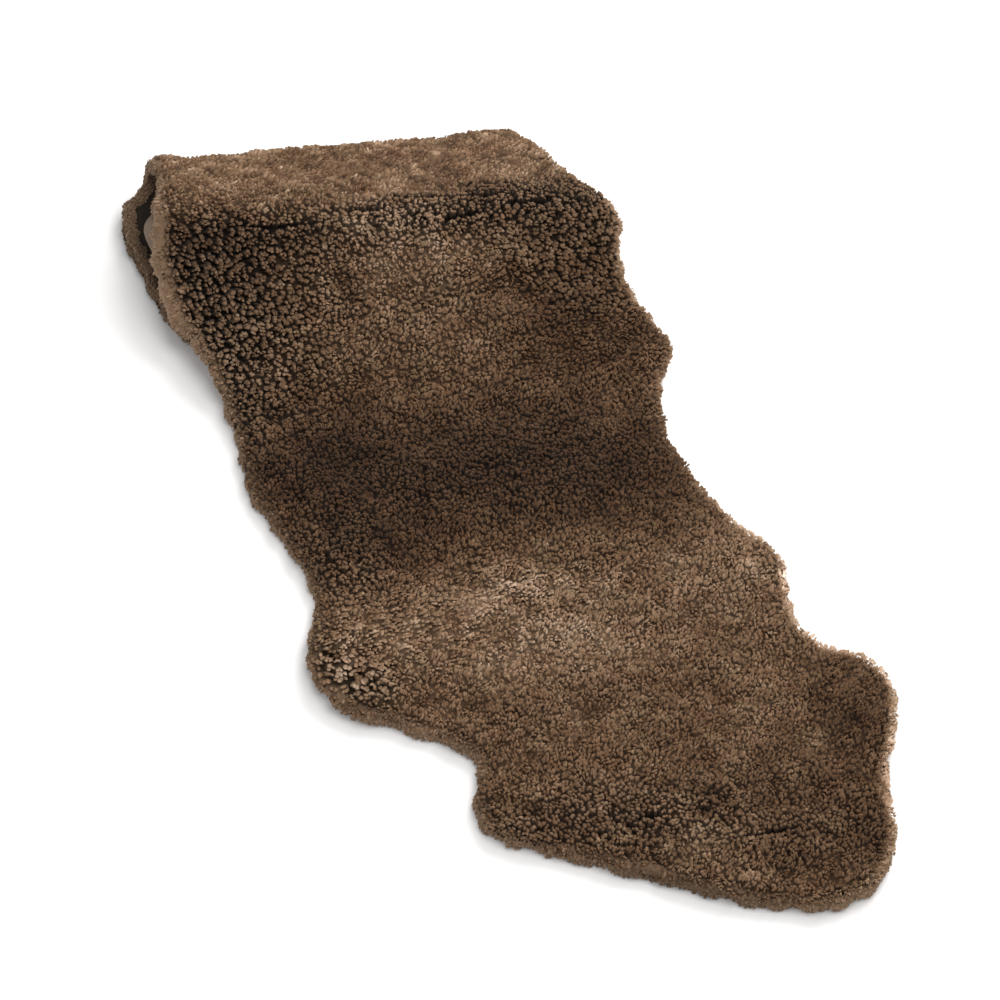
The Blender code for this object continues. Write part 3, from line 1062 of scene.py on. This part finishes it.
def makeFuzz():
    rng = np.random.default_rng(41)
    n = rimLocks["fuzz"]
    edge, inwards, run, wave = alongRim(rng.uniform(0, loopAt[-1], n))
    share = rng.uniform(0.06, 0.8, n)  # of the thickness
    hang = hangAt(edge[:, 1])
    inset = 0.0034 + 0.018 * (share - 0.42) ** 2 - hanging["out"] * hang + rng.uniform(0, 0.0012, n)
    start = edge + inwards * (inset - wave)[:, None]
    length = rimLocks["fuzzLength"] * rng.uniform(0.5, 1.3, n)
    end = start - unit(inwards + rng.normal(0, 0.7, n)[:, None] * run) * length[:, None]
    above = thickness(*edge.T) * share - hanging["down"] * hang * (1 - share)
    root = laid(*start.T, above)
    rise = above + rng.normal(0.0, 0.0015, n) + 0.006 * (share - 0.55)
    way = laid(*end.T, np.where(hang > 0.02, rise, np.maximum(rise, 0.0008))) - root
    girth = rimLocks["fuzzGirth"] * rng.uniform(0.7, 1.3, n)
    world, tips = strandsAt(root, unit(way), length, girth, 0.0, ((0.0, 1.0), (1.0, 0.0)), 3, rng)
    light = 0.1 + 0.26 * tips + rng.normal(0, 0.11, (n, 1)) + field(rimPaintedLight, *edge.T)[:, None]
    return joinLocks("rim_fuzz", world, light, np.ones(n), lockFaces(3, 1), rimWool)


# at the hidden end the wool stands round the leather's edge
puff = {
    "pitch": 0.003,
    "from": 1.4,  # along the skin
    # in from the outline at the root and the tip, and how far over the leather they are
    "rows": ((0.003, 0.006, 0.001, 0.0065), (0.007, 0.0115, 0.0, 0.007),
             (0.011, 0.0165, 0.0, 0.005), (0.015, 0.0205, -0.0005, 0.002)),
    "profile": ((0.0, 0.9), (0.55, 1.05), (1.0, 0.0)),
    "girth": 0.0027,
    "lighter": 0.22,
}


def makePuff():
    rng = np.random.default_rng(51)
    rows = []
    for rootIn, tipIn, rootOver, tipOver in puff["rows"]:
        found = rowAlongRim(puff["pitch"], rng)
        edge, inwards, run, wave = (v[found[0][:, 1] > puff["from"]] for v in found)
        n = len(edge)
        start = edge + inwards * (rootIn - wave)[:, None]
        end = edge + inwards * (tipIn - wave)[:, None] + run * rng.normal(0, 0.002, n)[:, None]
        grown = eased(edge[:, 1], puff["from"], puff["from"] + 0.03)
        root = laid(*start.T, np.full(n, -rootOver))
        tip = laid(*end.T, -tipOver * grown * rng.uniform(0.7, 1.2, n))
        girth = puff["girth"] * rng.uniform(0.8, 1.2, n)
        rows.append(lockRow(root, tip, edge, girth, 0.0, puff["profile"], rng))
    return joinRows("edge_under", rows, puff)


puffPiece = makePuff()
rimLockPiece = makeRimLocks()
fuzzPiece = makeFuzz()
print("rim locks and fuzz", len(rimLockPiece.data.polygons), len(fuzzPiece.data.polygons))

# the leather side, seen in the fold and from below
leather = {
    "thick": 0.0018,
    "inset": 0.0105,
    "colour": (0.215, 0.16, 0.122, 1.0),
    "shade": (0.155, 0.112, 0.084, 1.0),
    # the edge turns out and down beside the ridge
    "lip": {"along": 1.203, "reach": 0.044, "out": 0.014, "down": 0.012},
    "off": 0.0002,  # over the floor
    "insetUnder": 0.007,  # further in from the hidden end's rim
    "rows": 180,
    "columns": 30,
}


def leatherMaterial():
    material, tree, shader = newMaterial("suede side", {
        "Roughness": 0.88, "Specular IOR Level": 0.12, "Sheen Weight": 0.05,
        "Sheen Tint": (0.8, 0.7, 0.6, 1.0)})
    place = tree.nodes.new("ShaderNodeTexCoord").outputs["Object"]
    mix = addMix(tree, "MIX", addNoise(tree, place, 14.0, 6.0), leather["shade"], leather["colour"])
    shaded = addNode(tree, "ShaderNodeVectorMath", {0: mix, "Scale": addMark(tree, "tone")}, "SCALE")
    fill(tree, shader, {"Base Color": shaded.outputs["Vector"],
                        "Normal": addBump(tree, addNoise(tree, place, 900.0, 3.0), 0.35, 0.0005)})
    return material


def makeLeather():
    # the skin as a thin closed sheet, with painted shade darkening it in the fold, and its area laid flat
    rows, columns = leather["rows"], leather["columns"]
    places = skinGrid(rows, columns)
    far, inwards = toRim(places)
    lip = leather["lip"]
    turned = bell(places[:, 1] - lip["along"], lip["reach"]) * (places[:, 0] < 0)
    inset = leather["inset"] - (leather["inset"] + lip["out"]) * turned
    inset = inset + leather["insetUnder"] * eased(places[:, 1], lie["bendAlong"], lie["bendAlong"] + 0.05)
    nearRim = 1 - eased(far, 0.0, 0.04)
    moved = np.clip(inset, 0, 0.03) * nearRim + np.minimum(inset, 0) * nearRim ** 2
    places = places + inwards * moved[:, None]
    across, along = places.T
    count = len(places)
    drop = lip["down"] * turned * nearRim ** 2
    outer = laid(across, along, leather["off"] - drop)
    inner = laid(across, along, leather["off"] + leather["thick"] - drop)
    grid = np.arange(count).reshape(rows, columns)
    edge = np.concatenate([grid[0], grid[1:-1, -1], grid[-1, ::-1], grid[-2:0:-1, 0]])
    after = np.roll(edge, -1)
    quads = gridQuads(rows, columns)
    sides = np.stack([edge, after, after + count, edge + count], 1)
    piece = meshFrom("leather", np.vstack([outer, inner]), [quads, quads[:, ::-1] + count, sides],
                     leatherMaterial())
    # painted shade: the suede is darker deep in the fold
    deep = eased(along, lie["bendAlong"] - 0.09, lie["bendAlong"] + 0.02)
    mark(piece, "tone", np.tile(1.15 - 1.05 * deep, 2))
    flatGrid = places.reshape(rows, columns, 2)
    a, b = np.diff(flatGrid, axis=0)[:, :-1], np.diff(flatGrid, axis=1)[:-1]
    return piece, float(np.abs(a[..., 0] * b[..., 1] - a[..., 1] * b[..., 0]).sum())


leatherPiece, leatherArea = makeLeather()
print("leather", round(leatherArea, 3))

woolPieces = [undercoat, rimPiece, rimLockPiece, fuzzPiece, puffPiece, *lockPieces]
for piece in (leatherPiece, *woolPieces):
    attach(piece, "root")
    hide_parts("sheepskin")
print("triangles", sum(len(p.data.loops) - 2 * len(p.data.polygons) for p in woolPieces))

# camera above the near left corner
eye = {
    "aim": (-0.0075, 0.0054, 0.0),
    "azimuth": 29.0,
    "elevation": 45.0,
    "roll": 15.0,
    "distance": 3.375,
    "lens": 90.0,
}
a, e, r = (math.radians(eye[k]) for k in ("azimuth", "elevation", "roll"))
look = Vector((math.sin(a) * math.cos(e), math.cos(a) * math.cos(e), -math.sin(e)))
level = look.cross(Vector((0, 0, 1))).normalized()
upright = level.cross(look)
right = math.cos(r) * level + math.sin(r) * upright
top = -math.sin(r) * level + math.cos(r) * upright
cameraData = bpy.data.cameras.new("camera")
cameraData.lens = eye["lens"]
cameraData.sensor_width = 36.0
camera = bpy.data.objects.new("camera", cameraData)
turn = Matrix((right, top, -look)).transposed().to_4x4()
camera.matrix_world = Matrix.Translation(Vector(eye["aim"]) - look * eye["distance"]) @ turn
scene.collection.objects.link(camera)
scene.camera = camera

# plain pale floor
ground = {"half": 8, "colour": (0.86, 0.855, 0.85, 1.0), "rough": 0.7}
floorMesh = bpy.data.meshes.new("floor")
corners = [(x * ground["half"], y * ground["half"], 0) for x, y in ((-1, -1), (1, -1), (1, 1), (-1, 1))]
floorMesh.from_pydata(corners, [], [(0, 1, 2, 3)])
floor = bpy.data.objects.new("floor", floorMesh)
scene.collection.objects.link(floor)
floorPaint, _, _ = newMaterial("pale floor", {"Base Color": ground["colour"], "Roughness": ground["rough"]})
floorMesh.materials.append(floorPaint)

# soft studio light, strongest from behind on the right
lamps = {
    "window": {"at": (2.4, 2.2, 2.8), "size": 3.2, "power": 190.0, "colour": (1.0, 0.97, 0.93)},
    "fill": {"at": (-2.6, -2.0, 2.6), "size": 3.2, "power": 44.0, "colour": (0.98, 0.98, 1.0)},
    "top": {"at": (0.2, -0.3, 3.6), "size": 3.0, "power": 70.0, "colour": (1.0, 1.0, 1.0)},
}
for name, lamp in lamps.items():
    data = bpy.data.lights.new(name, "AREA")
    data.shape = "DISK"
    data.size = lamp["size"]
    data.energy = lamp["power"]
    data.color = lamp["colour"]
    obj = bpy.data.objects.new(name, data)
    obj.location = lamp["at"]
    obj.rotation_euler = (-Vector(lamp["at"])).to_track_quat("-Z", "Y").to_euler()
    scene.collection.objects.link(obj)
studio = bpy.data.worlds.new("studio")
studio.use_nodes = True
around = studio.node_tree.nodes["Background"]
around.inputs["Color"].default_value = (1.0, 1.0, 1.0, 1.0)
around.inputs["Strength"].default_value = 0.4
scene.world = studio
scene.view_settings.view_transform = "Standard"
print("camera, floor and lamps")
